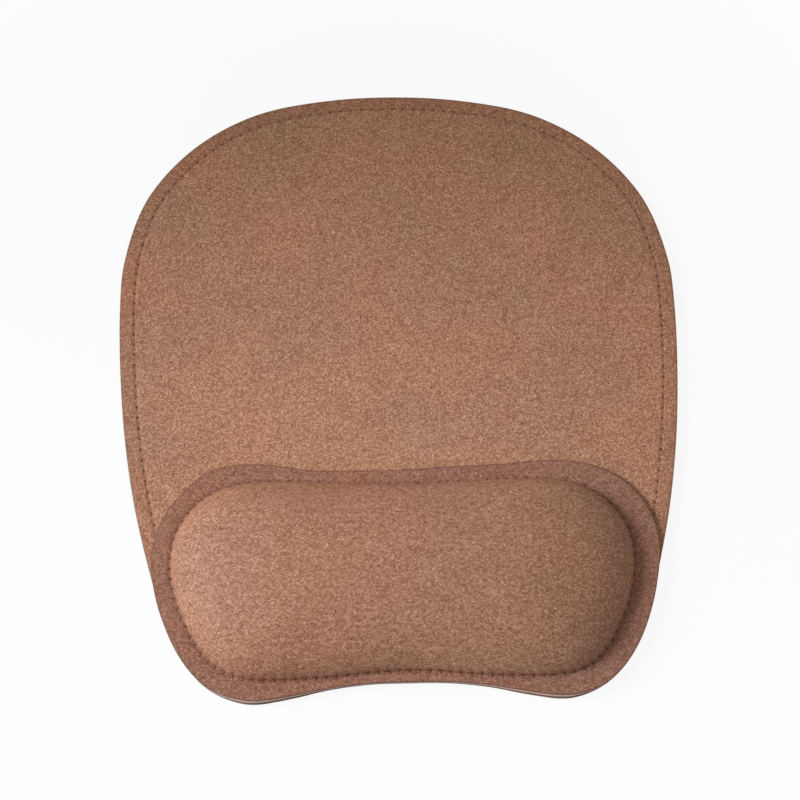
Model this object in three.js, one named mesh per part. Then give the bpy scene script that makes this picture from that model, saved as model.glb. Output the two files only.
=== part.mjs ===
import * as THREE from 'three';

// A mouse pad with a sewn wrist rest, in millimetres, with +Z up.
// The origin is on the table under the middle of the pad, and +Y points away from the user.

// Pad outline
const padWidth = 230;
const padDepth = 260;
const padLobeReach = 6.8; // the two front lobes reach this far past the notch between them

// Pad layers, from the table up
const baseThickness = 1.8;
const coreThickness = 1.3;
const faceClothThickness = 0.4;
const faceCorkThickness = 0.5;
const layerSetback = 0.4; // the upper layers are cut this far inside the rubber's edge

// Wrist rest outline
const restSideSetback = 16; // from the pad's widest point in to the rest's
const restDepth = 86.4; // from the notch to the back edge of its flange
const backingLobeSetback = 0.3; // from the pad's lobes back to the panel's, where it shows
const coverLobeSetback = 0.7; // the same for the cork cover, so a pale line of panel shows
const notchOverhang = 0.3; // in the notch the rest reaches just past the pad

// Wrist rest layers, from the pad up
const adhesiveThickness = 0.3;
const backingThickness = 0.8;
const coverClothThickness = 0.4;
const coverCorkThickness = 0.5;
const layerGap = 0.3; // between the domed layers
const crownHeight = 18; // the cushion's crown above its flange
const glueMargin = 2.1; // the glue stays this far inside the pad's seam, so the rim is free

// Cushion seam, where the flange ends and the dome begins
const flangeSideWidth = 9;
const flangeBackWidth = 7.5;
const flangeFrontWidth = 4;
const cushionLobeSetback = 4; // its two lobes reach this much less than the pad's
const cushionShift = -1.2; // the cushion is sewn a little to the left

// Lockstitch seams
const seamInset = 6.2; // from the pad's edge to its seam
const padStitchLength = 4.5;
const cushionStitchLength = 3.9;
const needleThread = 0.4;
const bobbinThread = 0.35;
const stitchLift = 0.1; // the middle of a stitch stands this far above its two holes
const threadClearance = 0.05;
const grooveWidth = 1.4; // the thread pulls a groove into the sheet

// Half of the pad's outline, from the middle of its back edge to the notch.
// Each point is across, along, lobe: the share of the half width, the share of the way from
// the notch to the back edge, and the share of the lobes' reach in front of the notch.
const padOutlineShares = [
  [0, 1, 0],
  [0.266, 0.992, 0],
  [0.526, 0.964, 0],
  [0.752, 0.9, 0],
  [0.918, 0.804, 0],
  [0.992, 0.689, 0],
  [1, 0.617, 0],
  [0.99, 0.507, 0],
  [0.963, 0.386, 0],
  [0.916, 0.267, 0],
  [0.847, 0.15, 0],
  [0.808, 0.092, 0],
  [0.746, 0.038, 0],
  [0.654, 0, 0.2],
  [0.53, 0, 0.99],
  [0.397, 0, 0.76],
  [0.266, 0, 0.3],
  [0.134, 0, 0.04],
  [0, 0, 0],
];
const sharedFrontPoints = 9; // the rest follows the pad's outline along these last points

// The free back of the rest's outline, in shares of its own half width, and of the way from
// its notch to its back edge. It was cut by hand, a little fuller on the right.
const restBackRightShares = [
  [0, 0.963, 0],
  [0.202, 0.976, 0],
  [0.405, 0.985, 0],
  [0.597, 1, 0],
  [0.739, 0.978, 0],
  [0.851, 0.921, 0],
  [0.926, 0.839, 0],
  [0.98, 0.728, 0],
  [1, 0.606, 0],
];
const restBackLeftShares = [
  [0, 0.963, 0],
  [0.202, 0.961, 0],
  [0.385, 0.965, 0],
  [0.526, 0.99, 0],
  [0.688, 0.992, 0],
  [0.805, 0.943, 0],
  [0.88, 0.862, 0],
  [0.946, 0.763, 0],
  [0.99, 0.612, 0],
];

// Half of the cushion's seam, point for point beside the rest's outline.
const cushionSeamShares = [
  [0, 0.98, 0],
  [0.222, 0.986, 0],
  [0.444, 1, 0],
  [0.633, 1, 0],
  [0.761, 0.973, 0],
  [0.856, 0.917, 0],
  [0.924, 0.839, 0],
  [0.973, 0.744, 0],
  [0.998, 0.628, 0],
  [0.988, 0.445, 0],
  [0.931, 0.258, 0],
  [0.85, 0.096, 0],
  [0.75, 0, 0.03],
  [0.628, 0, 0.92],
  [0.5, 0, 0.97],
  [0.333, 0, 0.75],
  [0.167, 0, 0.26],
  [0, 0, 0],
];

// The dome rises in rings, at these shares of the way from its foot to its ridge
const domeRingShares = [0, 0.03, 0.1, 0.22, 0.42, 0.7, 0.95];
const ridgeShare = 0.35; // the ridge's length as a share of the cushion's
const flankPower = 2.2; // a higher power makes steeper flanks and a flatter crown
const crownPower = 2;

// Facets from one outline point to the next
const padFacets = 3;
const restFacets = 2;

// Levels
const coreZ = baseThickness;
const faceClothZ = coreZ + coreThickness;
const faceCorkZ = faceClothZ + faceClothThickness;
const padTopZ = faceCorkZ + faceCorkThickness;
const backingZ = padTopZ + adhesiveThickness;
const coverClothZ = backingZ + backingThickness;
const coverCorkZ = coverClothZ + coverClothThickness;
const flangeTopZ = coverCorkZ + coverCorkThickness;

// Places worked out from the sizes above
const padNotchY = padLobeReach - padDepth / 2;
const restNotchY = padNotchY - notchOverhang;
const restHalfWidth = padWidth / 2 - restSideSetback;
const restBackY = restNotchY + restDepth;
const cushionNotchY = restNotchY + flangeFrontWidth;
const cushionBackY = restBackY - flangeBackWidth;
const ridgeY = (cushionNotchY + cushionBackY) / 2; // the crown's ridge runs along the middle
const glueInset = seamInset + grooveWidth / 2 + glueMargin;
const bobbinGrooveDepth = bobbinThread + threadClearance * 2;
// The needle groove lets the pad's stitches pass under the rest, in the glue's thickness
const needleGrooveDepth = needleThread + stitchLift + threadClearance * 2 - adhesiveThickness;

// Colours
const corkColour = '#af7b5b';
const flangeColour = '#a27254';
const clothColour = '#cdbfae';
const backingColour = '#d3af9e';
const rubberColour = '#85685d';
const coreColour = '#877163';
const foamColour = '#e6dfc9';
const threadColour = '#6f4630';
const adhesiveColour = '#d8cfae';

// The points of half an outline, at their distance from the middle line.
function placeHalf(shares, size) {
  return shares.map(([across, along, lobe]) => ({
    side: across * size.halfWidth,
    y: size.notchY + along * (size.backY - size.notchY) - lobe * size.lobeReach,
  }));
}

// A smooth closed loop, anticlockwise from above, through two halves of an outline.
function outlineLoop(leftHalf, rightHalf, centreX, facets) {
  const left = leftHalf.map(({ side, y }) => new THREE.Vector3(centreX - side, y, 0));
  const right = rightHalf.map(({ side, y }) => new THREE.Vector3(centreX + side, y, 0));
  const corners = [...left, ...right.slice(1, -1).reverse()];
  const curve = new THREE.CatmullRomCurve3(corners, true);
  const count = corners.length * facets;
  return Array.from({ length: count }, (_, i) => curve.getPoint(i / count));
}

function padLoop(setback) {
  const half = placeHalf(padOutlineShares, {
    halfWidth: padWidth / 2,
    backY: padDepth / 2,
    notchY: padNotchY,
    lobeReach: padLobeReach,
  });
  return inset(outlineLoop(half, half, 0, padFacets), setback);
}

// The rest's outline has its own back, and then follows the pad's edge.
function restLoop(lobeSetback) {
  const front = placeHalf(padOutlineShares.slice(-sharedFrontPoints), {
    halfWidth: padWidth / 2 - layerSetback,
    backY: padDepth / 2,
    notchY: restNotchY,
    lobeReach: padLobeReach - notchOverhang - lobeSetback,
  });
  const backSize = {
    halfWidth: restHalfWidth,
    backY: restBackY,
    notchY: restNotchY,
    lobeReach: 0,
  };
  const left = [...placeHalf(restBackLeftShares, backSize), ...front];
  const right = [...placeHalf(restBackRightShares, backSize), ...front];
  return outlineLoop(left, right, 0, restFacets);
}

function cushionSeamLoop() {
  const half = placeHalf(cushionSeamShares, {
    halfWidth: restHalfWidth - flangeSideWidth,
    backY: cushionBackY,
    notchY: cushionNotchY,
    lobeReach: padLobeReach - cushionLobeSetback,
  });
  return outlineLoop(half, half, cushionShift, restFacets);
}

// The direction along a loop at one of its points.
function alongLoop(loop, i) {
  const next = loop[(i + 1) % loop.length];
  const last = loop[(i - 1 + loop.length) % loop.length];
  const along = new THREE.Vector3(next.x - last.x, next.y - last.y, 0);
  return along.normalize();
}

function inset(loop, distance) {
  return loop.map((point, i) => {
    const along = alongLoop(loop, i);
    return new THREE.Vector3(
      point.x - along.y * distance,
      point.y + along.x * distance,
      point.z,
    );
  });
}

function atHeight(loop, z) {
  return loop.map((point) => new THREE.Vector3(point.x, point.y, z));
}

// Rings of a dome from its foot loop up to its ridge.
function domeRings(foot, footZ, crown) {
  return domeRingShares.map((share) => foot.map((point) => {
    const ridgeX = cushionShift + (point.x - cushionShift) * ridgeShare;
    const rise = (1 - (1 - share) ** flankPower) ** (1 / crownPower);
    return new THREE.Vector3(
      THREE.MathUtils.lerp(point.x, ridgeX, share),
      THREE.MathUtils.lerp(point.y, ridgeY, share),
      footZ + crown * rise,
    );
  }));
}

// A closed solid through rings of equally many points. The rings run from the middle of the
// underside outwards, round the edge and back to the middle of the top.
function loft(rings) {
  const count = rings[0].length;
  const positions = rings.flat().flatMap((point) => [point.x, point.y, point.z]);
  const faces = [];
  for (let ring = 0; ring < rings.length - 1; ring += 1) {
    const low = ring * count;
    const high = low + count;
    for (let i = 0; i < count; i += 1) {
      const next = (i + 1) % count;
      faces.push(low + i, low + next, high + next);
      faces.push(low + i, high + next, high + i);
    }
  }
  const lastRing = (rings.length - 1) * count;
  const cap = (ring) => THREE.ShapeUtils.triangulateShape(
    ring.map(({ x, y }) => new THREE.Vector2(x, y)),
    [],
  );
  cap(rings[0]).forEach(([a, b, c]) => faces.push(c, b, a));
  cap(rings.at(-1)).forEach(([a, b, c]) => faces.push(lastRing + a, lastRing + b, lastRing + c));
  return closedGeometry(positions, faces);
}

// A square thread along a closed loop of points.
function threadRing(path, thickness) {
  const half = thickness / 2;
  const cornerSides = [[-1, -1], [1, -1], [1, 1], [-1, 1]];
  const sides = cornerSides.length;
  const positions = path.flatMap((point, i) => {
    const along = alongLoop(path, i);
    return cornerSides.flatMap(([out, up]) => [
      point.x + along.y * out * half,
      point.y - along.x * out * half,
      point.z + up * half,
    ]);
  });
  const faces = [];
  path.forEach((_, i) => {
    const here = i * sides;
    const there = ((i + 1) % path.length) * sides;
    for (let side = 0; side < sides; side += 1) {
      const turn = (side + 1) % sides;
      faces.push(here + side, there + side, there + turn);
      faces.push(here + side, there + turn, here + turn);
    }
  });
  return closedGeometry(positions, faces);
}

function closedGeometry(positions, faces) {
  const geometry = new THREE.BufferGeometry();
  geometry.setAttribute('position', new THREE.Float32BufferAttribute(positions, 3));
  geometry.setIndex(faces);
  geometry.computeVertexNormals();
  return geometry;
}

// The needle thread dips into a hole at each end of a stitch and rises between them.
function stitchPath(seam, grooveFloorZ, stitchLength) {
  const curve = new THREE.CatmullRomCurve3(seam, true);
  const stitches = Math.round(curve.getLength() / stitchLength);
  const stations = stitches * 2;
  curve.arcLengthDivisions = stations * 4;
  curve.updateArcLengths();
  const lowZ = grooveFloorZ + threadClearance + needleThread / 2;
  return Array.from({ length: stations }, (_, i) => {
    const point = curve.getPointAt(i / stations);
    return new THREE.Vector3(point.x, point.y, lowZ + (i % 2) * stitchLift);
  });
}

function bobbinPath(seam, undersideZ) {
  return atHeight(seam, undersideZ + threadClearance + bobbinThread / 2);
}

// A flat sheet with a groove in its underside, for the bobbin thread.
function sheetGroovedBelow(outline, seam, bottomZ, topZ) {
  const roofZ = bottomZ + bobbinGrooveDepth;
  return loft([
    atHeight(inset(seam, grooveWidth / 2), bottomZ),
    atHeight(inset(seam, grooveWidth / 2), roofZ),
    atHeight(inset(seam, -grooveWidth / 2), roofZ),
    atHeight(inset(seam, -grooveWidth / 2), bottomZ),
    atHeight(outline, bottomZ),
    atHeight(outline, topZ),
  ]);
}

function flatSheet(outline, bottomZ, topZ) {
  return loft([atHeight(outline, bottomZ), atHeight(outline, topZ)]);
}

// Pad
const padEdge = padLoop(0);
const padLayerEdge = padLoop(layerSetback);
const padSeam = padLoop(seamInset);

function rubberBase() {
  return sheetGroovedBelow(padEdge, padSeam, 0, coreZ);
}

function padCore() {
  return flatSheet(padLayerEdge, coreZ, faceClothZ);
}

function padFaceCloth() {
  return flatSheet(padLayerEdge, faceClothZ, faceCorkZ);
}

function padFaceCork() {
  const floorZ = padTopZ - needleGrooveDepth;
  return loft([
    atHeight(padLayerEdge, faceCorkZ),
    atHeight(padLayerEdge, padTopZ),
    atHeight(inset(padSeam, -grooveWidth / 2), padTopZ),
    atHeight(inset(padSeam, -grooveWidth / 2), floorZ),
    atHeight(inset(padSeam, grooveWidth / 2), floorZ),
    atHeight(inset(padSeam, grooveWidth / 2), padTopZ),
  ]);
}

function padNeedleThread() {
  const path = stitchPath(padSeam, padTopZ - needleGrooveDepth, padStitchLength);
  return threadRing(path, needleThread);
}

function padBobbinThread() {
  return threadRing(bobbinPath(padSeam, 0), bobbinThread);
}

// Wrist rest
const backingEdge = restLoop(backingLobeSetback);
const coverEdge = restLoop(coverLobeSetback);
const cushionSeam = cushionSeamLoop();
const outerFoot = grooveWidth / 2;
const corkInnerFoot = outerFoot + coverCorkThickness;
const clothOuterFoot = corkInnerFoot + layerGap;
const clothInnerFoot = clothOuterFoot + coverClothThickness;
const foamFoot = clothInnerFoot + layerGap;

function restAdhesive() {
  return flatSheet(inset(backingEdge, glueInset), padTopZ, backingZ);
}

function restBacking() {
  return sheetGroovedBelow(backingEdge, cushionSeam, backingZ, coverClothZ);
}

function restFoam() {
  const crown = crownHeight - layerGap * 2;
  return loft(domeRings(inset(cushionSeam, foamFoot), coverClothZ, crown));
}

// The lining cloth lies flat in the flange and domes over the foam, open underneath.
function restCoverCloth() {
  const crown = crownHeight - layerGap;
  return loft([
    ...domeRings(inset(cushionSeam, clothInnerFoot), coverClothZ, crown).reverse(),
    atHeight(coverEdge, coverClothZ),
    atHeight(coverEdge, coverCorkZ),
    ...domeRings(inset(cushionSeam, clothOuterFoot), coverCorkZ, crown),
  ]);
}

// The cork cover does the same, and its seam groove runs round the dome's foot.
function restCoverCork() {
  const floorZ = flangeTopZ - needleGrooveDepth;
  const [foot, ...dome] = domeRings(inset(cushionSeam, outerFoot), flangeTopZ, crownHeight);
  return loft([
    ...domeRings(inset(cushionSeam, corkInnerFoot), coverCorkZ, crownHeight).reverse(),
    atHeight(coverEdge, coverCorkZ),
    atHeight(coverEdge, flangeTopZ),
    atHeight(inset(cushionSeam, -grooveWidth / 2), flangeTopZ),
    atHeight(inset(cushionSeam, -grooveWidth / 2), floorZ),
    atHeight(foot, floorZ),
    ...dome,
  ]);
}

function restNeedleThread() {
  const path = stitchPath(cushionSeam, flangeTopZ - needleGrooveDepth, cushionStitchLength);
  return threadRing(path, needleThread);
}

function restBobbinThread() {
  return threadRing(bobbinPath(cushionSeam, backingZ), bobbinThread);
}

const pieces = [
  ['rubber_base', rubberBase(), rubberColour, 0.85],
  ['pad_core', padCore(), coreColour, 0.9],
  ['pad_face_cloth', padFaceCloth(), clothColour, 0.95],
  ['pad_face_cork', padFaceCork(), corkColour, 0.8],
  ['pad_needle_thread', padNeedleThread(), threadColour, 0.7],
  ['pad_bobbin_thread', padBobbinThread(), threadColour, 0.7],
  ['rest_adhesive', restAdhesive(), adhesiveColour, 0.5],
  ['rest_backing', restBacking(), backingColour, 0.95],
  ['rest_foam', restFoam(), foamColour, 0.95],
  ['rest_cover_cloth', restCoverCloth(), clothColour, 0.95],
  ['rest_cover_cork', restCoverCork(), flangeColour, 0.8],
  ['rest_needle_thread', restNeedleThread(), threadColour, 0.7],
  ['rest_bobbin_thread', restBobbinThread(), threadColour, 0.7],
];

const group = new THREE.Group();
pieces.forEach(([name, geometry, color, roughness]) => {
  const material = new THREE.MeshStandardMaterial({ color, roughness, metalness: 0 });
  const mesh = new THREE.Mesh(geometry, material);
  mesh.name = name;
  group.add(mesh);
});

export default group;
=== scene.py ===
import math

import bmesh
import bpy
import numpy as np
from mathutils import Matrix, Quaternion, Vector


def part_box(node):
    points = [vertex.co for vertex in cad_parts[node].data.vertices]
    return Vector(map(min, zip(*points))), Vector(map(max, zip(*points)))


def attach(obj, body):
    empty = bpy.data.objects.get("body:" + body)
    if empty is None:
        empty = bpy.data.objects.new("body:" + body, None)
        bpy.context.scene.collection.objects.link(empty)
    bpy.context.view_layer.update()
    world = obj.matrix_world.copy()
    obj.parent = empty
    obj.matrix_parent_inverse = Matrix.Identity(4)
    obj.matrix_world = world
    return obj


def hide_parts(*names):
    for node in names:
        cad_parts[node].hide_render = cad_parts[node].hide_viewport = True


# A cork-faced mouse pad with a sewn wrist rest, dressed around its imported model, in metres
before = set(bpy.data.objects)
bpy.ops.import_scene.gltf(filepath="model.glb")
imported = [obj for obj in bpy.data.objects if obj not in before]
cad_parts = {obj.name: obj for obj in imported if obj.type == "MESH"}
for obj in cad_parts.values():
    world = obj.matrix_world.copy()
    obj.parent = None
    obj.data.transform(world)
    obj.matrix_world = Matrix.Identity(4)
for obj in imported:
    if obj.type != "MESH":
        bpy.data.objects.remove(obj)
for startup in ("Cube", "Light", "Camera"):
    if startup in bpy.data.objects:
        bpy.data.objects.remove(bpy.data.objects[startup])
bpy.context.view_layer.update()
mm = 0.001
print("frame loaded")


# Camera, lamps and floor
camera = {
    "aim": (-0.75 * mm, -9.17 * mm, 0),  # the middle of the picture, on the table
    "distance": 568.5 * mm,
    "azimuth": -7.7,  # degrees to the left of the user's side
    "elevation": 70.36,
    "roll": 6.65,
    "lens": 63,
}
keyLamp = {
    "aim": (15 * mm, -85 * mm, 0),  # near the middle of the wrist rest
    "azimuth": -95,
    "elevation": 35,
    "distance": 0.6,
    "size": 0.35,
    "spread": 38,  # degrees: a soft beam that fades towards the far edge of the pad
    "power": 0.408,
    "colour": "#e8f1ff",  # daylight
}
studio = {
    "ambient": 0.345,
    "floorSize": 8,
    "floorDrop": 0.02 * mm,  # under the table plane, so that nothing flickers against it
    "floorRoughness": 0.9,
    "floorColour": "#f4f4f2",
    "floorGlow": 0.9,  # under the object, the share of the floor's colour that is plain white
    "shadowReach": (0.12, 0.3),  # from here the floor turns plain white all over, so it has no end
}


def direction(azimuth, elevation):
    turn, rise = math.radians(azimuth), math.radians(elevation)
    return Vector((
        math.sin(turn) * math.cos(rise),
        -math.cos(turn) * math.cos(rise),
        math.sin(rise),
    ))


def addCamera(view):
    back = direction(view["azimuth"], view["elevation"])
    eye = bpy.data.objects.new("camera", bpy.data.cameras.new("camera"))
    eye.data.lens = view["lens"]
    eye.location = Vector(view["aim"]) + back * view["distance"]
    roll = Quaternion((0, 0, 1), math.radians(view["roll"]))
    eye.rotation_mode = "QUATERNION"
    eye.rotation_quaternion = back.to_track_quat("Z", "Y") @ roll
    bpy.context.collection.objects.link(eye)
    bpy.context.scene.camera = eye


def addLamp(name, lamp):
    light = bpy.data.lights.new(name, "AREA")
    light.shape = "DISK"
    light.size = lamp["size"]
    light.spread = math.radians(lamp["spread"])
    light.energy = lamp["power"]
    light.color = linear(lamp["colour"])[:3]
    back = direction(lamp["azimuth"], lamp["elevation"])
    holder = bpy.data.objects.new(name, light)
    holder.location = Vector(lamp["aim"]) + back * lamp["distance"]
    holder.rotation_mode = "QUATERNION"
    holder.rotation_quaternion = back.to_track_quat("Z", "Y")
    bpy.context.collection.objects.link(holder)


# Node and colour helpers
def linear(hexColour):
    shares = [int(hexColour[i:i + 2], 16) / 255 for i in (1, 3, 5)]
    return [s / 12.92 if s <= 0.04045 else ((s + 0.055) / 1.055) ** 2.4 for s in shares] + [1]


def addNode(tree, kind, inputs=None, **settings):
    node = tree.nodes.new(kind)
    for name, value in settings.items():
        setattr(node, name, value)
    for socket, value in (inputs or {}).items():
        if isinstance(value, bpy.types.NodeSocket):
            tree.links.new(value, node.inputs[socket])
        else:
            node.inputs[socket].default_value = value
    return node


def calculate(tree, operation, first, second=0, third=0):
    numbers = {0: first, 1: second, 2: third}
    return addNode(tree, "ShaderNodeMath", numbers, operation=operation).outputs[0]


def blend(tree, share, first, second):
    # Two numbers mixed, by the second one's share
    numbers = {0: share, 2: first, 3: second}
    return addNode(tree, "ShaderNodeMix", numbers, data_type="FLOAT").outputs[0]


def setRamp(node, stops):
    ramp = node.color_ramp
    while len(ramp.elements) < len(stops):
        ramp.elements.new(1)
    for element, (place, colour) in zip(ramp.elements, stops):
        element.position = place
        element.color = linear(colour)


def startMaterial(name, roughness, ior=1.5):
    material = bpy.data.materials.new(name)
    material.use_nodes = True
    shader = material.node_tree.nodes["Principled BSDF"]
    shader.inputs["Roughness"].default_value = roughness
    shader.inputs["IOR"].default_value = ior
    return material, material.node_tree, shader


def objectPlace(tree):
    return addNode(tree, "ShaderNodeTexCoord").outputs["Object"]


def buildStudio():
    world = bpy.data.worlds.new("studio")
    world.use_nodes = True
    bpy.context.scene.world = world
    tree = world.node_tree
    tree.nodes.clear()
    path = addNode(tree, "ShaderNodeLightPath").outputs
    seen = calculate(tree, "MAXIMUM", path["Is Camera Ray"], path["Is Glossy Ray"])
    seen = calculate(tree, "MAXIMUM", seen, path["Is Transmission Ray"])
    level = addNode(tree, "ShaderNodeMapRange", {
        "Value": seen,
        "To Min": studio["ambient"],
        "To Max": 1,
    }).outputs["Result"]
    white = (1, 1, 1, 1)
    shade = addNode(tree, "ShaderNodeBackground", {"Color": white, "Strength": level})
    addNode(tree, "ShaderNodeOutputWorld", {"Surface": shade.outputs[0]})

    # Pale studio floor: matt, and white to the camera but for the soft shadow under the object
    material, tree, shader = startMaterial("paleStudioFloor", studio["floorRoughness"])
    shader.inputs["Base Color"].default_value = linear(studio["floorColour"])
    shader.inputs["Specular IOR Level"].default_value = 0
    path = addNode(tree, "ShaderNodeLightPath").outputs
    glow = addNode(tree, "ShaderNodeEmission", {"Color": white, "Strength": 1})
    away = addNode(tree, "ShaderNodeVectorMath", {0: objectPlace(tree)}, operation="LENGTH")
    share = addNode(tree, "ShaderNodeMapRange", {
        "Value": away.outputs["Value"],
        "From Min": studio["shadowReach"][0],
        "From Max": studio["shadowReach"][1],
        "To Min": studio["floorGlow"],
    }).outputs["Result"]
    share = calculate(tree, "MULTIPLY", path["Is Camera Ray"], share)
    mix = addNode(tree, "ShaderNodeMixShader", {0: share, 1: shader.outputs[0], 2: glow.outputs[0]})
    tree.links.new(mix.outputs[0], tree.nodes["Material Output"].inputs["Surface"])
    reach = studio["floorSize"] / 2
    corners = [(-reach, -reach, 0), (reach, -reach, 0), (reach, reach, 0), (-reach, reach, 0)]
    mesh = bpy.data.meshes.new("floor")
    mesh.from_pydata(corners, [], [(0, 1, 2, 3)])
    mesh.materials.append(material)
    floor = bpy.data.objects.new("floor", mesh)
    floor.location.z = -studio["floorDrop"]
    bpy.context.collection.objects.link(floor)


bpy.context.scene.view_settings.view_transform = "Standard"
addCamera(camera)
addLamp("keyLamp", keyLamp)
buildStudio()
print("camera, lamps and floor placed")


# Outlines, read from the frame
outlineReading = {
    "weld": 0.01 * mm,
    "level": 0.02 * mm,  # how far off its height a point may lie
    "corner": 30,  # degrees between two faces that meet at an outline
    "steps": 16,  # between two points of an outline, to space it evenly
}


def levelLoops(node, height):
    # The outlines of a CAD node at one height, the widest first
    mesh = bmesh.new()
    mesh.from_mesh(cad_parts[node].data)
    bmesh.ops.remove_doubles(mesh, verts=mesh.verts, dist=outlineReading["weld"])
    corner = math.radians(outlineReading["corner"])
    beside = {}
    for edge in mesh.edges:
        level = all(abs(vert.co.z - height) < outlineReading["level"] for vert in edge.verts)
        if level and edge.calc_face_angle() > corner:
            low, high = (vert.index for vert in edge.verts)
            beside.setdefault(low, []).append(high)
            beside.setdefault(high, []).append(low)
    mesh.verts.ensure_lookup_table()
    loops = []
    while beside:
        last = next(iter(beside))
        walk = [last]
        here = beside[last][0]
        while here != walk[0]:
            walk.append(here)
            last, here = here, next(i for i in beside[here] if i != last)
        loops.append(np.array([mesh.verts[i].co[:2] for i in walk]))
        for i in walk:
            del beside[i]
    mesh.free()
    return sorted(loops, key=lambda loop: -np.ptp(loop[:, 0]))


def smoothThrough(rows, places, closed):
    # Values of a smooth curve through rows of numbers, at places counted in rows
    first = np.floor(places).astype(int)
    share = (places - first).reshape(-1, *[1] * (rows.ndim - 1))

    def row(step):
        index = first + step
        return rows[index % len(rows) if closed else np.clip(index, 0, len(rows) - 1)]

    a, b, c, d = (row(step) for step in (-1, 0, 1, 2))
    return b + share / 2 * (c - a + share * (2 * a - 5 * b + 4 * c - d + share * (3 * (b - c) + d - a)))


def evenLoop(loop, count):
    # Evenly spaced, anticlockwise, from the rightmost point
    nextX, nextY = np.roll(loop, -1, axis=0).T
    if np.sum(loop[:, 0] * nextY - loop[:, 1] * nextX) < 0:
        loop = loop[::-1]
    steps = outlineReading["steps"]
    fine = smoothThrough(loop, np.arange(len(loop) * steps) / steps, True)
    fine = np.roll(fine, -np.argmax(fine[:, 0]), axis=0)
    fine = np.vstack([fine, fine[:1]])
    walked = np.append(0, np.cumsum(np.linalg.norm(np.diff(fine, axis=0), axis=1)))
    stops = np.arange(count) / count * walked[-1]
    return np.stack([np.interp(stops, walked, column) for column in fine.T], axis=1)


def inset(loop, distance):
    along = np.roll(loop, -1, axis=0) - np.roll(loop, 1, axis=0)
    along /= np.linalg.norm(along, axis=1, keepdims=True)
    return loop + np.stack([-along[:, 1], along[:, 0]], axis=1) * np.reshape(distance, (-1, 1))


def loopLength(loop):
    return np.linalg.norm(loop - np.roll(loop, 1, axis=0), axis=1).sum()


def grooveSeam(node, stitch, perStitch):
    # The seam line over the groove in a sheet's underside, and how many stitches it has
    outline, outer, inner = levelLoops(node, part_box(node)[0].z)
    grooveWidth = (np.ptp(outer[:, 0]) - np.ptp(inner[:, 0])) / 2
    seam = evenLoop(inset(evenLoop(outer, len(outer)), grooveWidth / 2), len(outer))
    stitches = round(loopLength(seam) / stitch)
    return evenLoop(seam, stitches * perStitch), stitches


def atHeight(loop, height):
    return np.column_stack([loop, np.broadcast_to(height, len(loop))])


# Meshes
meshing = {
    "weld": 0.001 * mm,
    "sharp": 40,  # degrees: a crease sharper than this isn't smoothed
    "threadSharp": 50,
}


def ringFaces(low, lowCount, high, highCount):
    # The strip of faces between two rings, of which one may have twice the other's points
    faces = []
    for i in range(min(lowCount, highCount)):
        after = (i + 1) % min(lowCount, highCount)
        if lowCount == highCount:
            faces.append((low + i, low + after, high + after, high + i))
        elif lowCount > highCount:
            a, b, c = low + 2 * i, low + 2 * i + 1, low + 2 * after
            faces += [(a, b, high + i), (b, high + after, high + i), (b, c, high + after)]
        else:
            a, b, c = high + 2 * i, high + 2 * i + 1, high + 2 * after
            faces += [(low + i, b, a), (low + i, low + after, b), (low + after, c, b)]
    return faces


def skin(name, rings, material, firstOpen=False, lastOpen=False, marks=None):
    # A closed body through rings that run from the middle of its underside outwards, round
    # its edge and back to the middle of its top. An end that is left open closes on itself.
    starts = np.append(0, np.cumsum([len(ring) for ring in rings]))
    faces = []
    for k in range(len(rings) - 1):
        faces += ringFaces(int(starts[k]), len(rings[k]), int(starts[k + 1]), len(rings[k + 1]))
    if not firstOpen:
        faces.append(tuple(range(len(rings[0])))[::-1])
    if not lastOpen:
        faces.append(tuple(range(int(starts[-2]), int(starts[-1]))))
    mesh = bpy.data.meshes.new(name)
    mesh.from_pydata(np.concatenate(rings).tolist(), [], faces)
    for markName, rows in (marks or {}).items():
        values = np.concatenate([np.broadcast_to(row, len(ring)) for row, ring in zip(rows, rings)])
        mesh.attributes.new(markName, "FLOAT", "POINT").data.foreach_set("value", values.astype(np.float32))
    if firstOpen or lastOpen:
        closing = bmesh.new()
        closing.from_mesh(mesh)
        bmesh.ops.remove_doubles(closing, verts=closing.verts, dist=meshing["weld"])
        closing.to_mesh(mesh)
        closing.free()
    return addPiece(name, mesh, material)


def addPiece(name, mesh, material):
    mesh.materials.clear()
    mesh.materials.append(material)
    mesh.shade_smooth()
    mesh.set_sharp_from_angle(angle=math.radians(meshing["sharp"]))
    piece = bpy.data.objects.new(name, mesh)
    bpy.context.collection.objects.link(piece)
    return piece


def halved(loop, times=1):
    return loop[::2 ** times]


# Materials
corkFinish = {
    "roughness": 0.65,
    "ior": 1.33,
    "granule": 0.55,  # sizes in millimetres
    "fleck": 0.3,
    "mottle": 9,
    "patch": 45,
    "speck": 1.5,  # from one dark or pale speck to the next
    "fleckNoise": {"Detail": 2, "Roughness": 0.6},
    "mottleNoise": {"Detail": 3, "Roughness": 0.55},
    "patchNoise": {"Detail": 1},
    "granuleShare": 0.3,
    "mottleShare": 0.06,
    "speckShare": 0.2,
    "speckStrength": 1.6,
    "patchRange": (0.35, 0.65),  # the noise values between which a patch comes in
    "patchTint": "#f4fbff",
    "bump": 0.35,
    "relief": 0.12,
}


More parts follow.
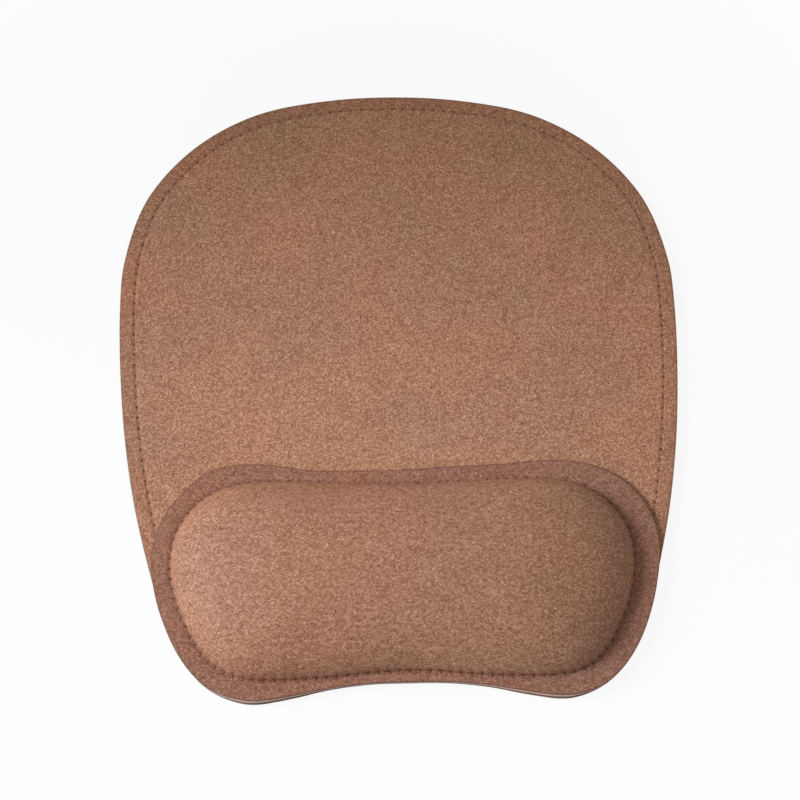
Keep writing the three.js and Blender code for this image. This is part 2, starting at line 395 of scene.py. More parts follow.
# Cork fabric: sliced cork skin on cotton, sealed satin. Fine brown granules with darker pores
# and paler flecks, faint greyer patches, a little darker where it is pressed along a seam, and
# dark by a painted mark: painted shade in its needle holes, a painted shadow line along the top
# corner of its cut edges, and on the cut edges their own darker tone with painted shade on it.
def corkFabric(name, look):
    material, tree, shader = startMaterial(name, look["roughness"], look["ior"])
    place = addNode(tree, "ShaderNodeMapping", {
        "Vector": objectPlace(tree),
        "Scale": look["stretch"],
    }).outputs[0]
    granules = addNode(tree, "ShaderNodeTexVoronoi", {
        "Vector": place,
        "Scale": 1 / (look["granule"] * mm),
    })
    granuleTone = addNode(tree, "ShaderNodeSeparateColor", {"Color": granules.outputs["Color"]}).outputs[0]
    fleck = addNode(tree, "ShaderNodeTexNoise", {
        "Vector": place,
        "Scale": 1 / (look["fleck"] * mm),
        **look["fleckNoise"],
    }).outputs["Fac"]
    mottle = addNode(tree, "ShaderNodeTexNoise", {
        "Vector": place,
        "Scale": 1 / (look["mottle"] * mm),
        **look["mottleNoise"],
    }).outputs["Fac"]
    tone = blend(tree, look["granuleShare"], fleck, granuleTone)
    tone = blend(tree, look["mottleShare"], tone, mottle)
    specks = addNode(tree, "ShaderNodeTexVoronoi", {
        "Vector": place,
        "Scale": 1 / (look["speck"] * mm),
    }).outputs
    spot = addNode(tree, "ShaderNodeMapRange", {
        "Value": specks["Distance"],
        "From Min": look["speckShare"],
        "From Max": look["speckShare"] / 2,
        "To Max": look["speckStrength"],
    }).outputs[0]
    change = addNode(tree, "ShaderNodeSeparateColor", {"Color": specks["Color"]}).outputs[0]
    change = calculate(tree, "SUBTRACT", change, 0.5)
    tone = calculate(tree, "MULTIPLY_ADD", spot, change, tone)
    ramp = addNode(tree, "ShaderNodeValToRGB", {"Fac": tone})
    setRamp(ramp, look["stops"])
    patches = addNode(tree, "ShaderNodeTexNoise", {
        "Vector": place,
        "Scale": 1 / (look["patch"] * mm),
        **look["patchNoise"],
    }).outputs["Fac"]
    grey = addNode(tree, "ShaderNodeMapRange", {
        "Value": patches,
        "From Min": look["patchRange"][0],
        "From Max": look["patchRange"][1],
    }).outputs[0]
    # A colour mix takes its share at socket 0 and its colours at 6 and 7, and gives it at 2
    patched = addNode(tree, "ShaderNodeMix", {
        0: grey,
        6: ramp.outputs["Color"],
        7: linear(look["patchTint"]),
    }, data_type="RGBA", blend_type="MULTIPLY")
    pressed = addNode(tree, "ShaderNodeAttribute", attribute_name="pressed").outputs["Fac"]
    tint = addNode(tree, "ShaderNodeMix", {
        0: pressed,
        6: patched.outputs[2],
        7: linear(look["pressedTint"]),
    }, data_type="RGBA", blend_type="MULTIPLY")
    # The dark mark: painted shade in needle holes, a painted shadow line along rim corners, and cut edges'
    # darker tone with painted shade
    dark = addNode(tree, "ShaderNodeAttribute", attribute_name="dark").outputs["Fac"]
    worn = addNode(tree, "ShaderNodeMix", {
        0: dark,
        6: tint.outputs[2],
        7: linear(look["shadeAndCutEdgeColour"]),
    }, data_type="RGBA")
    tree.links.new(worn.outputs[2], shader.inputs["Base Color"])
    bump = addNode(tree, "ShaderNodeBump", {
        "Height": tone,
        "Strength": look["bump"],
        "Distance": look["relief"] * mm,
    })
    tree.links.new(bump.outputs[0], shader.inputs["Normal"])
    return material


# Plain-woven cotton: pale threads over and under each other, matt
def wovenCotton(name, look):
    material, tree, shader = startMaterial(name, look["roughness"])
    place = objectPlace(tree)
    turn = 2 * math.pi / (2 * look["thread"] * mm)
    waves = addNode(tree, "ShaderNodeVectorMath", {0: place, 3: turn}, operation="SCALE").outputs[0]
    waves = addNode(tree, "ShaderNodeVectorMath", {0: waves}, operation="SINE").outputs[0]
    split = addNode(tree, "ShaderNodeSeparateXYZ", {0: waves}).outputs
    weave = calculate(tree, "MULTIPLY", split[0], split[1])
    height = addNode(tree, "ShaderNodeMapRange", {"Value": weave, "From Min": -1}).outputs[0]
    slub = addNode(tree, "ShaderNodeTexNoise", {
        "Vector": place,
        "Scale": 1 / (look["slub"] * mm),
    }).outputs["Fac"]
    tone = blend(tree, look["slubShare"], height, slub)
    ramp = addNode(tree, "ShaderNodeValToRGB", {"Fac": tone})
    setRamp(ramp, look["stops"])
    tree.links.new(ramp.outputs["Color"], shader.inputs["Base Color"])
    bump = addNode(tree, "ShaderNodeBump", {
        "Height": height,
        "Strength": look["bump"],
        "Distance": look["relief"] * mm,
    })
    tree.links.new(bump.outputs[0], shader.inputs["Normal"])
    return material


grainNoise = {"Detail": 3, "Roughness": 0.6}


# Foams, felt, rubber, thread and glue: one noise for the cells or fibres, in colour and relief
def grainy(name, look):
    material, tree, shader = startMaterial(name, look["roughness"])
    place = objectPlace(tree)
    if "stretch" in look:
        place = addNode(tree, "ShaderNodeMapping", {"Vector": place, "Scale": look["stretch"]}).outputs[0]
    grain = addNode(tree, "ShaderNodeTexNoise", {
        "Vector": place,
        "Scale": 1 / (look["grain"] * mm),
        **grainNoise,
    }).outputs["Fac"]
    ramp = addNode(tree, "ShaderNodeValToRGB", {"Fac": grain})
    setRamp(ramp, look["stops"])
    tree.links.new(ramp.outputs["Color"], shader.inputs["Base Color"])
    bump = addNode(tree, "ShaderNodeBump", {
        "Height": grain,
        "Strength": look["bump"],
        "Distance": look["relief"] * mm,
    })
    tree.links.new(bump.outputs[0], shader.inputs["Normal"])
    return material


padCorkMaterial = corkFabric("corkFabricPad", {
    **corkFinish,
    "stretch": (1, 1, 1),
    "stops": [(0.2, "#6f3d23"), (0.42, "#a36d4d"), (0.5, "#b27c5b"), (0.58, "#c28c6a"), (0.8, "#eeb896")],
    "pressedTint": "#f8f3f3",
    # The dark colour: painted shade in needle holes and along rim corners, and the cut edges' darker tone
    "shadeAndCutEdgeColour": "#41241a",
})
restCorkMaterial = corkFabric("corkFabricRest", {
    **corkFinish,
    "stretch": (0.74, 1, 1),  # the granules lie a little along the rest
    "stops": [(0.2, "#6f422a"), (0.42, "#986548"), (0.5, "#a57354"), (0.58, "#b47f62"), (0.8, "#dba689")],
    "pressedTint": "#eae6ee",
    # The dark colour: painted shade in needle holes and along rim corners, and the cut edges' darker tone
    "shadeAndCutEdgeColour": "#4a2d1f",
})
cottonMaterial = wovenCotton("wovenCottonBacking", {
    "roughness": 0.95,
    "bump": 0.5,
    "relief": 0.1,
    "thread": 0.35,
    "slub": 3,
    "slubShare": 0.4,
    "stops": [(0.25, "#b3a590"), (0.75, "#ddd2c1")],
})
# Soft brown rubber out of a fine-textured mould: matt and even
rubberMaterial = grainy("mouldedRubber", {
    "roughness": 0.8,
    "grain": 0.5,
    "bump": 0.4,
    "relief": 0.05,
    "stops": [(0.3, "#7a5e53"), (0.7, "#907267")],
})
# Closed-cell foam board, sliced: tiny dull cells
foamBoardMaterial = grainy("closedCellFoam", {
    "roughness": 0.9,
    "grain": 0.4,
    "bump": 0.5,
    "relief": 0.08,
    "stops": [(0.3, "#7a6558"), (0.7, "#957e6f")],
})
# Pressed felt: pale fibres that lie flat, fuzzy and without gloss
feltMaterial = grainy("pressedFelt", {
    "roughness": 0.95,
    "grain": 0.5,
    "stretch": (1, 1, 2.5),
    "bump": 0.6,
    "relief": 0.1,
    "stops": [(0.3, "#c5a08f"), (0.7, "#e1bead")],
})
# Cast memory foam: cream, with open cells in its skin
memoryFoamMaterial = grainy("memoryFoam", {
    "roughness": 0.95,
    "grain": 0.6,
    "bump": 0.5,
    "relief": 0.12,
    "stops": [(0.3, "#d8cfb2"), (0.7, "#f0e8cf")],
})
# Twisted polyester thread: a slight sheen, a little darker than the cork
threadMaterial = grainy("twistedPolyesterThread", {
    "roughness": 0.55,
    "grain": 0.08,
    "bump": 0.3,
    "relief": 0.02,
    "stops": [(0.3, "#855a42"), (0.7, "#ac7c5e")],
})
# Hot-melt glue, rolled on: pale yellow, half glossy, gently rippled
glueMaterial = grainy("hotMeltGlue", {
    "roughness": 0.35,
    "grain": 2.5,
    "bump": 0.2,
    "relief": 0.05,
    "stops": [(0.3, "#cbc09a"), (0.7, "#e0d8b8")],
})
print("materials made")


# Stitches, made by Geometry Nodes along a seam
def newTree(name, sockets):
    # A tree with a geometry in and out, and named inputs for its sizes
    tree = bpy.data.node_groups.new(name, "GeometryNodeTree")
    tree.interface.new_socket("Geometry", in_out="OUTPUT", socket_type="NodeSocketGeometry")
    for label, kind in sockets.items():
        tree.interface.new_socket(label, in_out="INPUT", socket_type=kind)
    return tree, addNode(tree, "NodeGroupInput").outputs


def endTree(tree, instances, material):
    real = addNode(tree, "GeometryNodeRealizeInstances", {"Geometry": instances}).outputs[0]
    dressed = addNode(tree, "GeometryNodeSetMaterial", {"Geometry": real, "Material": material}).outputs[0]
    addNode(tree, "NodeGroupOutput", {"Geometry": dressed})


def runTree(name, tree, source, values):
    # The tree's result on a source mesh, as a plain piece
    holder = bpy.data.objects.new(name, source)
    bpy.context.collection.objects.link(holder)
    modifier = holder.modifiers.new("nodes", "NODES")
    modifier.node_group = tree
    for item in tree.interface.items_tree:
        if item.in_out == "INPUT" and item.name in values:
            modifier[item.identifier] = values[item.name]
    graph = bpy.context.evaluated_depsgraph_get()
    mesh = bpy.data.meshes.new_from_object(holder.evaluated_get(graph))
    holder.modifiers.remove(modifier)
    mesh.name = name
    outward = bmesh.new()
    outward.from_mesh(mesh)
    bmesh.ops.recalc_face_normals(outward, faces=outward.faces)
    outward.to_mesh(mesh)
    outward.free()
    mesh.shade_smooth()
    mesh.set_sharp_from_angle(angle=math.radians(meshing["threadSharp"]))
    holder.data = mesh
    return holder


def combine(tree, x, z):
    return addNode(tree, "ShaderNodeCombineXYZ", {"X": x, "Z": z}).outputs[0]


thread = {
    "needle": 0.42 * mm,
    "bobbin": 0.35 * mm,
    "sink": 0.1 * mm,  # from the cork's face down to the middle of the seam line
    "dip": 0.7 * mm,
    "rise": 0.16 * mm,
    "reach": 0.86,  # the share of a stitch's length along which its thread shows
    "handles": 0.72,  # the share of half a stitch at which its arch is steered
    "steps": 8,
    "plies": 3,
    "plyRadii": (0.38, 0.5),  # shares of the thread: between two plies, and on one
    "twist": 9,  # radians along one stitch
}


def stitchTree():
    # Each stitch dives into a needle hole at both ends, with its plies twisted round each other
    tree, given = newTree("lockstitches", {
        "Seam": "NodeSocketGeometry",
        "Stitch length": "NodeSocketFloat",
        "Thread": "NodeSocketFloat",
        "Dip": "NodeSocketFloat",
        "Rise": "NodeSocketFloat",
        "Reach": "NodeSocketFloat",
        "Plies": "NodeSocketInt",
        "Twist": "NodeSocketFloat",
        "Material": "NodeSocketMaterial",
    })
    seam = addNode(tree, "GeometryNodeMeshToCurve", {"Mesh": given["Seam"]}).outputs[0]
    length = addNode(tree, "GeometryNodeCurveLength", {"Curve": seam}).outputs[0]
    count = calculate(tree, "ROUND", calculate(tree, "DIVIDE", length, given["Stitch length"]))
    centres = addNode(tree, "GeometryNodeResampleCurve", {
        "Curve": seam,
        "Count": count,
    }, mode="COUNT").outputs[0]
    half = calculate(tree, "DIVIDE", calculate(tree, "DIVIDE", length, count), 2)
    half = calculate(tree, "MULTIPLY", half, given["Reach"])
    back = calculate(tree, "MULTIPLY", half, -1)
    dip = calculate(tree, "MULTIPLY", given["Dip"], -1)
    startHandle = calculate(tree, "MULTIPLY", back, thread["handles"])
    endHandle = calculate(tree, "MULTIPLY", half, thread["handles"])
    line = addNode(tree, "GeometryNodeCurvePrimitiveBezierSegment", {
        "Resolution": thread["steps"],
        "Start": combine(tree, back, dip),
        "Start Handle": combine(tree, startHandle, given["Rise"]),
        "End Handle": combine(tree, endHandle, given["Rise"]),
        "End": combine(tree, half, dip),
    }, mode="POSITION").outputs[0]
    along = addNode(tree, "GeometryNodeSplineParameter").outputs["Factor"]
    tilt = calculate(tree, "MULTIPLY", along, given["Twist"])
    line = addNode(tree, "GeometryNodeSetCurveTilt", {"Curve": line, "Tilt": tilt}).outputs[0]
    section = addNode(tree, "GeometryNodeCurveStar", {
        "Points": given["Plies"],
        "Inner Radius": calculate(tree, "MULTIPLY", given["Thread"], thread["plyRadii"][0]),
        "Outer Radius": calculate(tree, "MULTIPLY", given["Thread"], thread["plyRadii"][1]),
    }).outputs[0]
    stitch = addNode(tree, "GeometryNodeCurveToMesh", {
        "Curve": line,
        "Profile Curve": section,
        "Fill Caps": True,
    }).outputs[0]
    tangent = addNode(tree, "GeometryNodeInputTangent").outputs[0]
    facing = addNode(tree, "FunctionNodeAlignRotationToVector", {"Vector": tangent}, axis="X").outputs[0]
    placed = addNode(tree, "GeometryNodeInstanceOnPoints", {
        "Points": centres,
        "Instance": stitch,
        "Rotation": facing,
    }).outputs[0]
    endTree(tree, placed, given["Material"])
    return tree


lockstitches = stitchTree()


def sewSeam(name, seam, part, level, thickness, side=1):
    # A seam's stitches. Side is 1 where they show from above and -1 where they show from below.
    path = atHeight(np.roll(seam, -part["perStitch"] // 2, axis=0), level)
    count = len(path)
    source = bpy.data.meshes.new(name)
    source.from_pydata(path.tolist(), [(i, (i + 1) % count) for i in range(count)], [])
    return runTree(name, lockstitches, source, {
        "Stitch length": part["stitch"],
        "Thread": thickness,
        "Dip": thread["dip"] * side,
        "Rise": thread["rise"] * side,
        "Reach": thread["reach"],
        "Plies": thread["plies"],
        "Twist": thread["twist"],
        "Material": threadMaterial,
    })


def holeMark(count, perStitch, stitch, length):
    # 1 at each needle hole, fading along the seam; it deepens the hole and sets the painted shade in it
    phase = (np.arange(count) + perStitch / 2) % perStitch - perStitch / 2
    return np.exp(-(phase * stitch / perStitch / length) ** 2)


def grooveRings(seam, offsets, top, groove, holes):
    # Rings across the groove that a seam pulls into the cork: (ring, pressed, dark), dark being painted
    # shade in the needle holes
    rows = []
    for offset in offsets:
        pull = math.exp(-(offset / groove["reach"]) ** 2)
        # pit: the needle hole's dimple, and the painted shade in it
        pit = math.exp(-(offset / groove["holeWidth"]) ** 2) * holes
        height = top - groove["depth"] * pull - groove["holeDepth"] * pit
        rows.append((atHeight(inset(seam, offset), height), 1, pit))
    return rows


def plainRing(loop, height, pressed=1, dark=0):
    return atHeight(loop, height), pressed, dark


def corkSkin(name, rows, material, firstOpen=False, lastOpen=False):
    rings, pressed, dark = zip(*rows)
    marks = {"pressed": pressed, "dark": dark}
    return skin(name, rings, material, firstOpen, lastOpen, marks)


# A cut edge is dark: its own darker tone with painted shade on it; the rounded corner on top of it gets a
# painted shadow line
cutEdge = {
    "dark": 0.7,
    "cornerMiddle": 0.3,  # share of the rounding, both in and down
}


def roundedRim(loop, low, top, part):
    # A cut edge from its lower corner up, its upper corner rounded over. The edge is darkened: its own
    # darker tone with painted shade on it, and a painted shadow line along its upper corner
    rimRound = part["rimRound"]
    corner = cutEdge["cornerMiddle"] * rimRound
    return [
        plainRing(loop, low, 1, cutEdge["dark"]),
        plainRing(loop, top - rimRound, 1, cutEdge["dark"]),
        plainRing(inset(loop, corner), top - corner, 1, part["cornerShadowLine"]),
        plainRing(inset(loop, rimRound), top, 1, part["cornerShadowLine"]),
    ]


# Pad
pad = {
    "stitch": 4.5 * mm,
    "perStitch": 12,  # points of each ring for each stitch
    "rimRound": 0.2 * mm,
    # How dark the painted shadow line along the rim's rounded corner is
    "cornerShadowLine": 0.25,
    "bandRings": (0.2, 0.45, 0.65),  # shares of the way from the rim to the seam
    "fieldRings": (3 * mm, 6 * mm),  # further in than the seam
    "underStep": 1 * mm,  # between the rings under the rim
    "layerThinning": 2,  # times that a layer's ring of points is halved
    "layerRound": 0.06 * mm,  # the softened corners of a layer's cut edge
    "groove": {
        "rings": (-1.6, -1.1, -0.75, -0.5, -0.3, -0.12, 0.06, 0.25, 0.45, 0.7, 1.1, 1.6),  # millimetres
        "depth": 0.2 * mm,
        "reach": 0.7 * mm,
        "holeDepth": 0.28 * mm,
        "holeLength": 0.62 * mm,
        "holeWidth": 0.4 * mm,
    },
}
baseLow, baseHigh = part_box("rubber_base")
coreLow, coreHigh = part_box("pad_core")
clothLow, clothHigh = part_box("pad_face_cloth")
corkLow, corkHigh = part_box("pad_face_cork")
padSeam = grooveSeam("rubber_base", pad["stitch"], pad["perStitch"])[0]
padRim = evenLoop(levelLoops("rubber_base", baseHigh.z)[0], len(padSeam))
padLayerRim = evenLoop(levelLoops("pad_face_cork", corkLow.z)[0], len(padSeam))
seamSetback = padLayerRim[0, 0] - padSeam[0, 0]


def buildPadCork():
    groove = pad["groove"]
    holes = holeMark(len(padSeam), pad["perStitch"], pad["stitch"], groove["holeLength"])
    top, low = corkHigh.z, corkLow.z
    rows = []
    for times in (2, 1):
        rows.append(plainRing(halved(inset(padLayerRim, times * pad["underStep"]), times), low))
    rows += roundedRim(padLayerRim, low, top, pad)
    for share in pad["bandRings"]:
        rows.append(plainRing(inset(padLayerRim, share * seamSetback), top))
    offsets = np.array(groove["rings"]) * mm
    for offset, (ring, _, pit) in zip(offsets, grooveRings(padSeam, offsets, top, groove, holes)):
        rows.append((ring, 1 - max(0, offset / offsets[-1]), pit))
    for times, reach in enumerate(pad["fieldRings"], 1):
        rows.append(plainRing(halved(inset(padSeam, reach), times), top, 0))
    return corkSkin("padFaceCork", rows, padCorkMaterial)


def buildLayer(name, low, high, material):
    # A flat layer of the pad with its cut edge
    loop, rimRound = halved(padLayerRim, pad["layerThinning"]), pad["layerRound"]
    rings = [atHeight(inset(loop, rimRound), low), atHeight(loop, low + rimRound)]
    rings += [atHeight(loop, high - rimRound), atHeight(inset(loop, rimRound), high)]
    return skin(name, rings, material)


bobbinGroove = {"width": 1.4 * mm, "depth": 0.45 * mm, "edge": 0.15 * mm}


def buildGrooved(name, loop, seam, low, high, material):
    # A flat layer with a groove in its underside for the bobbin thread
    edge = bobbinGroove["edge"]
    across = bobbinGroove["width"] / 2
    rings = [atHeight(inset(seam, across + edge), low)]
    rings += [atHeight(inset(seam, across), low + edge)]
    rings += [atHeight(inset(seam, across * side / 2), low + bobbinGroove["depth"]) for side in (1, -1)]
    rings += [atHeight(inset(seam, -across), low + edge), atHeight(inset(seam, -across - edge), low)]
    rings += [atHeight(inset(loop, edge), low), atHeight(loop, low + edge)]
    rings += [atHeight(loop, high - edge / 2), atHeight(inset(loop, edge / 2), high)]
    return skin(name, rings, material)


padFaceCork = buildPadCork()
padFaceCloth = buildLayer("padFaceCloth", clothLow.z, clothHigh.z, cottonMaterial)
padCore = buildLayer("padCore", coreLow.z, coreHigh.z, foamBoardMaterial)
grip = {
    "nubHeight": 0.35 * mm,
    "nubBase": 1.5 * mm,
    "nubTip": 0.9 * mm,
    "pitch": 3.6 * mm,
    "margin": 1.6 * mm,
    "overlap": 0.05 * mm,  # the nubs reach this far into the base
    "sides": 8,
    "thinning": 3,  # times that the field's rings of points are halved
}
baseLoops = halved(padRim), halved(padSeam)
rubberBase = buildGrooved("rubberBase", *baseLoops, grip["nubHeight"], baseHigh.z, rubberMaterial)
needleLevel, bobbinLevel = corkHigh.z - thread["sink"], grip["nubHeight"] + thread["sink"]
padNeedleStitches = sewSeam("padNeedleStitches", padSeam, pad, needleLevel, thread["needle"])
padBobbinStitches = sewSeam("padBobbinStitches", padSeam, pad, bobbinLevel, thread["bobbin"], -1)


def gripTree():
    # Staggered rows of blunt nubs over the underside, wherever it is solid
    tree, given = newTree("gripNubs", {
        "Underside": "NodeSocketGeometry",
        "Width": "NodeSocketFloat",
        "Depth": "NodeSocketFloat",
        "Pitch": "NodeSocketFloat",
        "Nub base": "NodeSocketFloat",
        "Nub tip": "NodeSocketFloat",
        "Nub height": "NodeSocketFloat",
        "Material": "NodeSocketMaterial",
    })
    across = calculate(tree, "ROUND", calculate(tree, "DIVIDE", given["Width"], given["Pitch"]))
    deep = calculate(tree, "ROUND", calculate(tree, "DIVIDE", given["Depth"], given["Pitch"]))
    field = addNode(tree, "GeometryNodeMeshGrid", {
        "Size X": given["Width"],
        "Size Y": given["Depth"],
        "Vertices X": across,
        "Vertices Y": deep,
    }).outputs[0]
    index = addNode(tree, "GeometryNodeInputIndex").outputs[0]
    odd = calculate(tree, "MODULO", calculate(tree, "MODULO", index, deep), 2)
    shift = calculate(tree, "MULTIPLY", odd, calculate(tree, "DIVIDE", given["Pitch"], 2))
    field = addNode(tree, "GeometryNodeSetPosition", {
        "Geometry": field,
        "Offset": combine(tree, shift, 0),
    }).outputs[0]
    place = addNode(tree, "GeometryNodeInputPosition").outputs[0]
    above = addNode(tree, "ShaderNodeVectorMath", {0: place, 1: (0, 0, 1)}, operation="ADD").outputs[0]
    hit = addNode(tree, "GeometryNodeRaycast", {
        "Target Geometry": given["Underside"],
        "Source Position": above,
        "Ray Direction": (0, 0, -1),
    }).outputs["Is Hit"]
    nub = addNode(tree, "GeometryNodeMeshCone", {
        "Vertices": grip["sides"],
        "Radius Top": calculate(tree, "DIVIDE", given["Nub base"], 2),
        "Radius Bottom": calculate(tree, "DIVIDE", given["Nub tip"], 2),
        "Depth": given["Nub height"],
    }).outputs[0]
    placed = addNode(tree, "GeometryNodeInstanceOnPoints", {
        "Points": field,
        "Selection": hit,
        "Instance": nub,
    }).outputs[0]
    endTree(tree, placed, given["Material"])
    return tree


def buildGrip():
    loop, seam = halved(padRim, grip["thinning"]), halved(padSeam, grip["thinning"])
    rings = [inset(seam, grip["margin"]), inset(seam, -grip["margin"]), inset(loop, grip["margin"])]
    count = len(loop)
    faces = [tuple(range(count))] + ringFaces(count, count, 2 * count, count)
    field = bpy.data.meshes.new("gripNubs")
    field.from_pydata(atHeight(np.concatenate(rings), 0).tolist(), [], faces)
    return runTree("gripNubs", gripTree(), field, {
        "Width": baseHigh.x - baseLow.x,
        "Depth": baseHigh.y - baseLow.y,
        "Pitch": grip["pitch"],
        "Nub base": grip["nubBase"],
        "Nub tip": grip["nubTip"],
        "Nub height": grip["nubHeight"] + grip["overlap"],
        "Material": rubberMaterial,
    })


gripNubs = buildGrip()
print("pad made")


# Wrist rest
rest = {
    "stitch": 3.9 * mm,
    "perStitch": 16,
    "rimRound": 0.22 * mm,
    # How dark the painted shadow line along the rim's rounded corner is
    "cornerShadowLine": 0.5,
    "groove": {
        "rings": (-1.4, -1, -0.7, -0.48, -0.3, -0.15, 0, 0.12),  # millimetres
        "depth": 0.25 * mm,
        "reach": 0.8 * mm,
        "holeDepth": 0.18 * mm,
        "holeLength": 0.34 * mm,
        "holeWidth": 0.27 * mm,
    },
    "footReach": 0.6 * mm,  # from the seam in to the dome's foot
    "scallop": 0.25 * mm,  # the foot bulges out by this between two needle holes, and in at each
    "scallopRise": 2.5 * mm,  # up the flank, until the bulges fade out
    "holeRise": 0.5,  # rows up the flank, along which the painted shade of a hole fades
    "underRings": ((0.4, 2), (0.7, 1)),  # shares of the way from the foot to the rim, and halvings
    "edgeBand": 0.6 * mm,  # from the rim in to the first ring of the flange
    "seamBand": 2 * mm,  # from the last ring of the flange in to the seam
    "flangeRings": (0, 0.35, 0.7, 1),
    "rows": 16,
    "rowPower": 2.2,  # the rows lie closer together near the foot
    "ridgeShare": 0.35,
    "flankPower": 2.2,
    "crownRings": (  # places counted in rows, each line with half the points of the one before
        (0, 0.3, 0.6, 1, 1.4, 1.8, 2.3, 2.9, 3.5),
        (4.2, 5, 5.8, 6.6, 7.4),
        (8.2, 9, 10, 11, 12),
        (13, 14, 15, 16),
    ),
}
backingLow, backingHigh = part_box("rest_backing")
liningLow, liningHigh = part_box("rest_cover_cloth")
coverLow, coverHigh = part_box("rest_cover_cork")
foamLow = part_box("rest_foam")[0]
corkThickness = corkHigh.z - corkLow.z
clothThickness = clothHigh.z - clothLow.z
flangeTop = coverLow.z + corkThickness
restSeam, restStitches = grooveSeam("rest_backing", rest["stitch"], rest["perStitch"])
coverRim = evenLoop(levelLoops("rest_cover_cork", flangeTop)[0], len(restSeam))
backingRim = evenLoop(levelLoops("rest_backing", backingHigh.z)[0], len(restSeam))


def crownRows():
    # The cushion's crown as rows from its foot up to its ridge, two points for each stitch
    seam = evenLoop(restSeam, restStitches * 2)
    count = len(seam)
    bulge = rest["scallop"] * np.cos(np.arange(count) * math.pi)
    low, high = seam.min(axis=0), seam.max(axis=0)
    turn = 2 * math.pi * np.arange(count) / count
    ridgeX = (low[0] + high[0]) / 2 + rest["ridgeShare"] * (high[0] - low[0]) / 2 * np.cos(turn)
    ridgeY = np.full(count, levelLoops("rest_foam", foamLow.z)[0][:, 1].mean())
    ridge = np.stack([ridgeX, ridgeY], axis=1)
    crown = coverHigh.z - flangeTop
    rows = []
    for k in range(rest["rows"] + 1):
        share = (k / rest["rows"]) ** rest["rowPower"]
        rise = crown * math.sqrt(1 - (1 - share) ** rest["flankPower"])
        foot = inset(seam, rest["footReach"] + bulge * math.exp(-rise / rest["scallopRise"]))
        rows.append(atHeight(foot + (ridge - foot) * share, flangeTop - rest["groove"]["depth"] / 2 + rise))
    return np.array(rows)


coverPress = {
    "pressure": 4,
    "frames": 20,
    "reach": 1.2 * mm,  # no point moves further than this
    "stiffness": 15,
    "bending": 1,
    "mass": 0.3,
    "heldBetween": 0.8,  # how firmly the foot is held between two needle holes
    "stillness": 1e-9,  # a move shorter than this counts as this long, so nothing is divided by zero
}


def pressOut(rows, press):
    # The cover is held at its needle holes and pressed out from inside, as its foam does
    count = len(rows[0])
    joined = np.arange(rows.shape[0] * count).reshape(-1, count)
    joined[-1] = joined[-1][np.minimum(np.arange(count), (count - np.arange(count)) % count)]
    faces = []
    for k in range(len(rows) - 1):
        for i in range(count):
            after = (i + 1) % count
            face = [joined[k, i], joined[k, after], joined[k + 1, after], joined[k + 1, i]]
            faces.append(tuple(int(v) for v in dict.fromkeys(face)))
    mesh = bpy.data.meshes.new("coverBlank")
    mesh.from_pydata(rows.reshape(-1, 3).tolist(), [], faces)
    blank = bpy.data.objects.new("coverBlank", mesh)
    bpy.context.collection.objects.link(blank)
    held = blank.vertex_groups.new(name="needleHoles")
    held.add([int(i) for i in joined[0, ::2]], 1, "REPLACE")
    held.add([int(i) for i in joined[0, 1::2]], press["heldBetween"], "REPLACE")
    cloth = blank.modifiers.new("Cloth", "CLOTH")
    settings = cloth.settings
    settings.vertex_group_mass = "needleHoles"
    settings.mass = press["mass"]
    settings.tension_stiffness = press["stiffness"]
    settings.compression_stiffness = press["stiffness"]
    settings.shear_stiffness = press["stiffness"]
    settings.bending_stiffness = press["bending"]
    settings.effector_weights.gravity = 0
    settings.use_pressure = True
    settings.uniform_pressure_force = press["pressure"]
    cloth.collision_settings.use_collision = False
    cloth.point_cache.frame_end = press["frames"]
    for number in range(1, press["frames"] + 1):
        bpy.context.scene.frame_set(number)
    worn = blank.evaluated_get(bpy.context.evaluated_depsgraph_get()).data
    places = np.empty(len(worn.vertices) * 3)
    worn.vertices.foreach_get("co", places)
    moved = places.reshape(-1, 3)[joined] - rows
    bpy.data.objects.remove(blank)
    bpy.context.scene.frame_set(1)
    far = np.linalg.norm(moved, axis=2, keepdims=True)
    print("cover pressed out by", round(float(far.max()) / mm, 2), "mm at most")
    return rows + moved * np.minimum(1, press["reach"] / np.maximum(far, press["stillness"]))


crown = crownRows()
crown = pressOut(crown, coverPress)
print("wrist rest's cover pressed out")


def crownAt(place, count):
    # One ring of the crown, at a place counted in rows
    row = smoothThrough(crown, np.array([place]), False)[0]
    return smoothThrough(row, np.arange(count) * len(row) / count, True)


def crownInside(depth, floor):
    # The crown's rows moved in by a depth, with its foot on a floor
    around = np.roll(crown, -1, axis=1) - np.roll(crown, 1, axis=1)
    normal = np.cross(around, np.gradient(crown, axis=0))
    normal[-1] = (0, 0, 1)
    inner = crown - normal / np.linalg.norm(normal, axis=2, keepdims=True) * depth
    inner[0, :, 2] = floor
    return list(inner)


def between(first, last, share):
    return first + (last - first) * share


def buildCover():
    groove = rest["groove"]
    fine = len(restSeam)
    holes = holeMark(fine, rest["perStitch"], rest["stitch"], groove["holeLength"])
    low = coverLow.z
    rows = [(ring, 0, 0) for ring in crownInside(corkThickness, low)[::-1]]
    innerFoot = inset(restSeam, rest["footReach"] + corkThickness)
    for share, times in rest["underRings"]:
        rows.append(plainRing(halved(between(innerFoot, coverRim, share), times), low))
    rows += roundedRim(coverRim, low, flangeTop, rest)
    flangeEdge, flangeFoot = inset(coverRim, rest["edgeBand"]), inset(restSeam, -rest["seamBand"])
    for share in rest["flangeRings"]:
        rows.append(plainRing(between(flangeEdge, flangeFoot, share), flangeTop))
    rows += grooveRings(restSeam, np.array(groove["rings"]) * mm, flangeTop, groove, holes)
    for times, places in enumerate(rest["crownRings"]):
        step = 2 ** times
        for place in places:
            # The needle holes' painted shade, fading up the flank
            pit = holes[::step] * math.exp(-(place / rest["holeRise"]) ** 2)
            rows.append((crownAt(place, fine // step), math.exp(-place), pit))
    return corkSkin("wristRestCover", rows, restCorkMaterial, True, True)


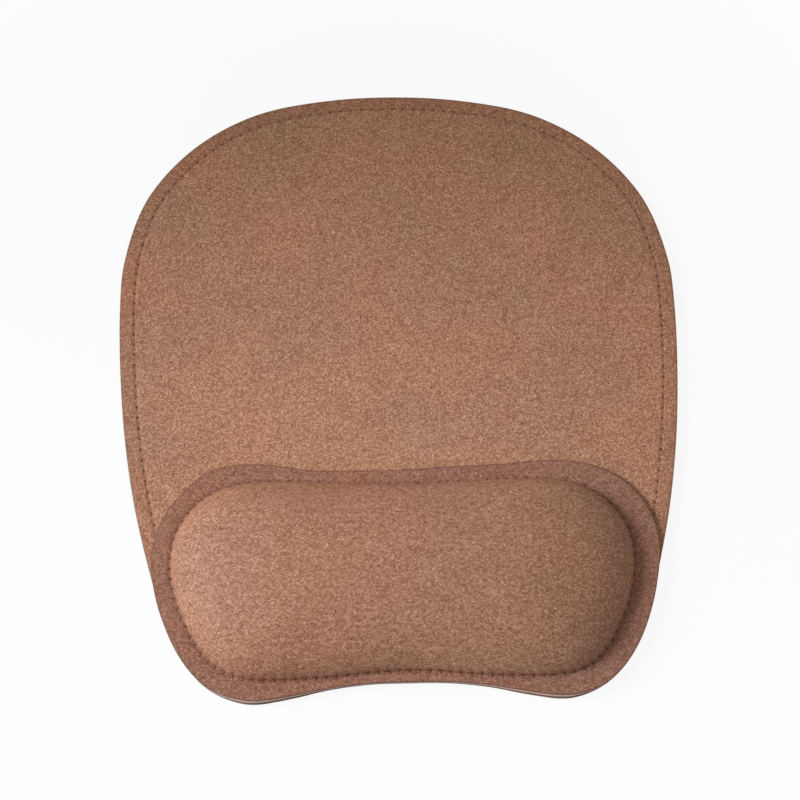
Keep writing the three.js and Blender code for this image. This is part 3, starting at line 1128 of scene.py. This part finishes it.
def buildLining(gap):
    rows = crownInside(corkThickness + gap + clothThickness, liningLow.z)[::-1]
    rim = coverRim[:: rest["perStitch"] // 2]
    rows += [atHeight(rim, liningLow.z), atHeight(rim, coverLow.z)]
    rows += crownInside(corkThickness + gap, coverLow.z)
    return skin("wristRestLining", rows, cottonMaterial, True, True)


def buildFoam(gap):
    rows = crownInside(corkThickness + 2 * gap + clothThickness, foamLow.z)
    return skin("wristRestFoam", rows, memoryFoamMaterial, False, True)


coverGap = coverHigh.z - corkThickness - liningHigh.z
wristRestCover = buildCover()
wristRestLining = buildLining(coverGap)
wristRestFoam = buildFoam(coverGap)
panelLoops = halved(backingRim), halved(restSeam)
wristRestPanel = buildGrooved("wristRestPanel", *panelLoops, backingLow.z, backingHigh.z, feltMaterial)
needleLevel, bobbinLevel = flangeTop - thread["sink"], backingLow.z + 2 * thread["sink"]
restNeedleStitches = sewSeam("restNeedleStitches", restSeam, rest, needleLevel, thread["needle"])
restBobbinStitches = sewSeam("restBobbinStitches", restSeam, rest, bobbinLevel, thread["bobbin"], -1)
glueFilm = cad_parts["rest_adhesive"]
glueFilm.data.materials.clear()
glueFilm.data.materials.append(glueMaterial)
print("wrist rest made")


# What stands for what
finished = [
    (rubberBase, "base_rubber", ["rubber_base"]),
    (gripNubs, "base_rubber", []),
    (padCore, "core_foam", ["pad_core"]),
    (padFaceCloth, "lining_cloth", ["pad_face_cloth"]),
    (padFaceCork, "pad_cork", ["pad_face_cork"]),
    (padNeedleStitches, "thread", ["pad_needle_thread"]),
    (padBobbinStitches, "thread", ["pad_bobbin_thread"]),
    (wristRestPanel, "backing_felt", ["rest_backing"]),
    (wristRestFoam, "cushion_foam", ["rest_foam"]),
    (wristRestLining, "lining_cloth", ["rest_cover_cloth"]),
    (wristRestCover, "cover_cork", ["rest_cover_cork"]),
    (restNeedleStitches, "thread", ["rest_needle_thread"]),
    (restBobbinStitches, "thread", ["rest_bobbin_thread"]),
]
for piece, slotName, nodes in finished:
    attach(piece, "root")
    if nodes:
        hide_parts(*nodes)
    print(piece.name, len(piece.data.polygons), "faces")
